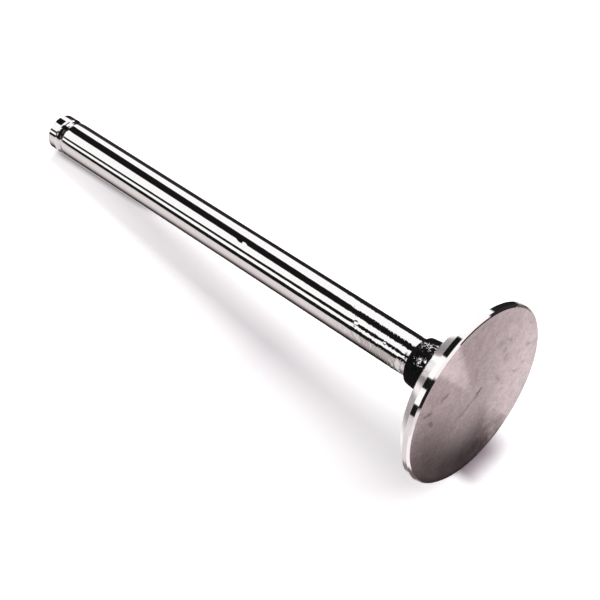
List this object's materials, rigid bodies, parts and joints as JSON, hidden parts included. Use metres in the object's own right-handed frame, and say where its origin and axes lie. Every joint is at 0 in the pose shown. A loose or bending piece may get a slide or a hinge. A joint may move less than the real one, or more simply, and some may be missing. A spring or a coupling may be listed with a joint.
{
  "type": "engine valve",
  "caption": "Poppet valve for a diesel engine: flat ground head with a conical seat, black forged neck and a long polished stem with a keeper groove near its tip.",
  "frame": {"origin": "centre of the flat combustion face of the head, on which the valve stands", "axes": "+Z along the stem, from the face towards the tip; X and Y are free, since the valve is round"},
  "size_m": [0.041, 0.041, 0.1315],
  "materials": {
    "valve_steel": "polished and ground, with a black as-forged neck"
  },
  "bodies": {
    "root": {"valve": "valve_steel"}
  },
  "joints": []
}
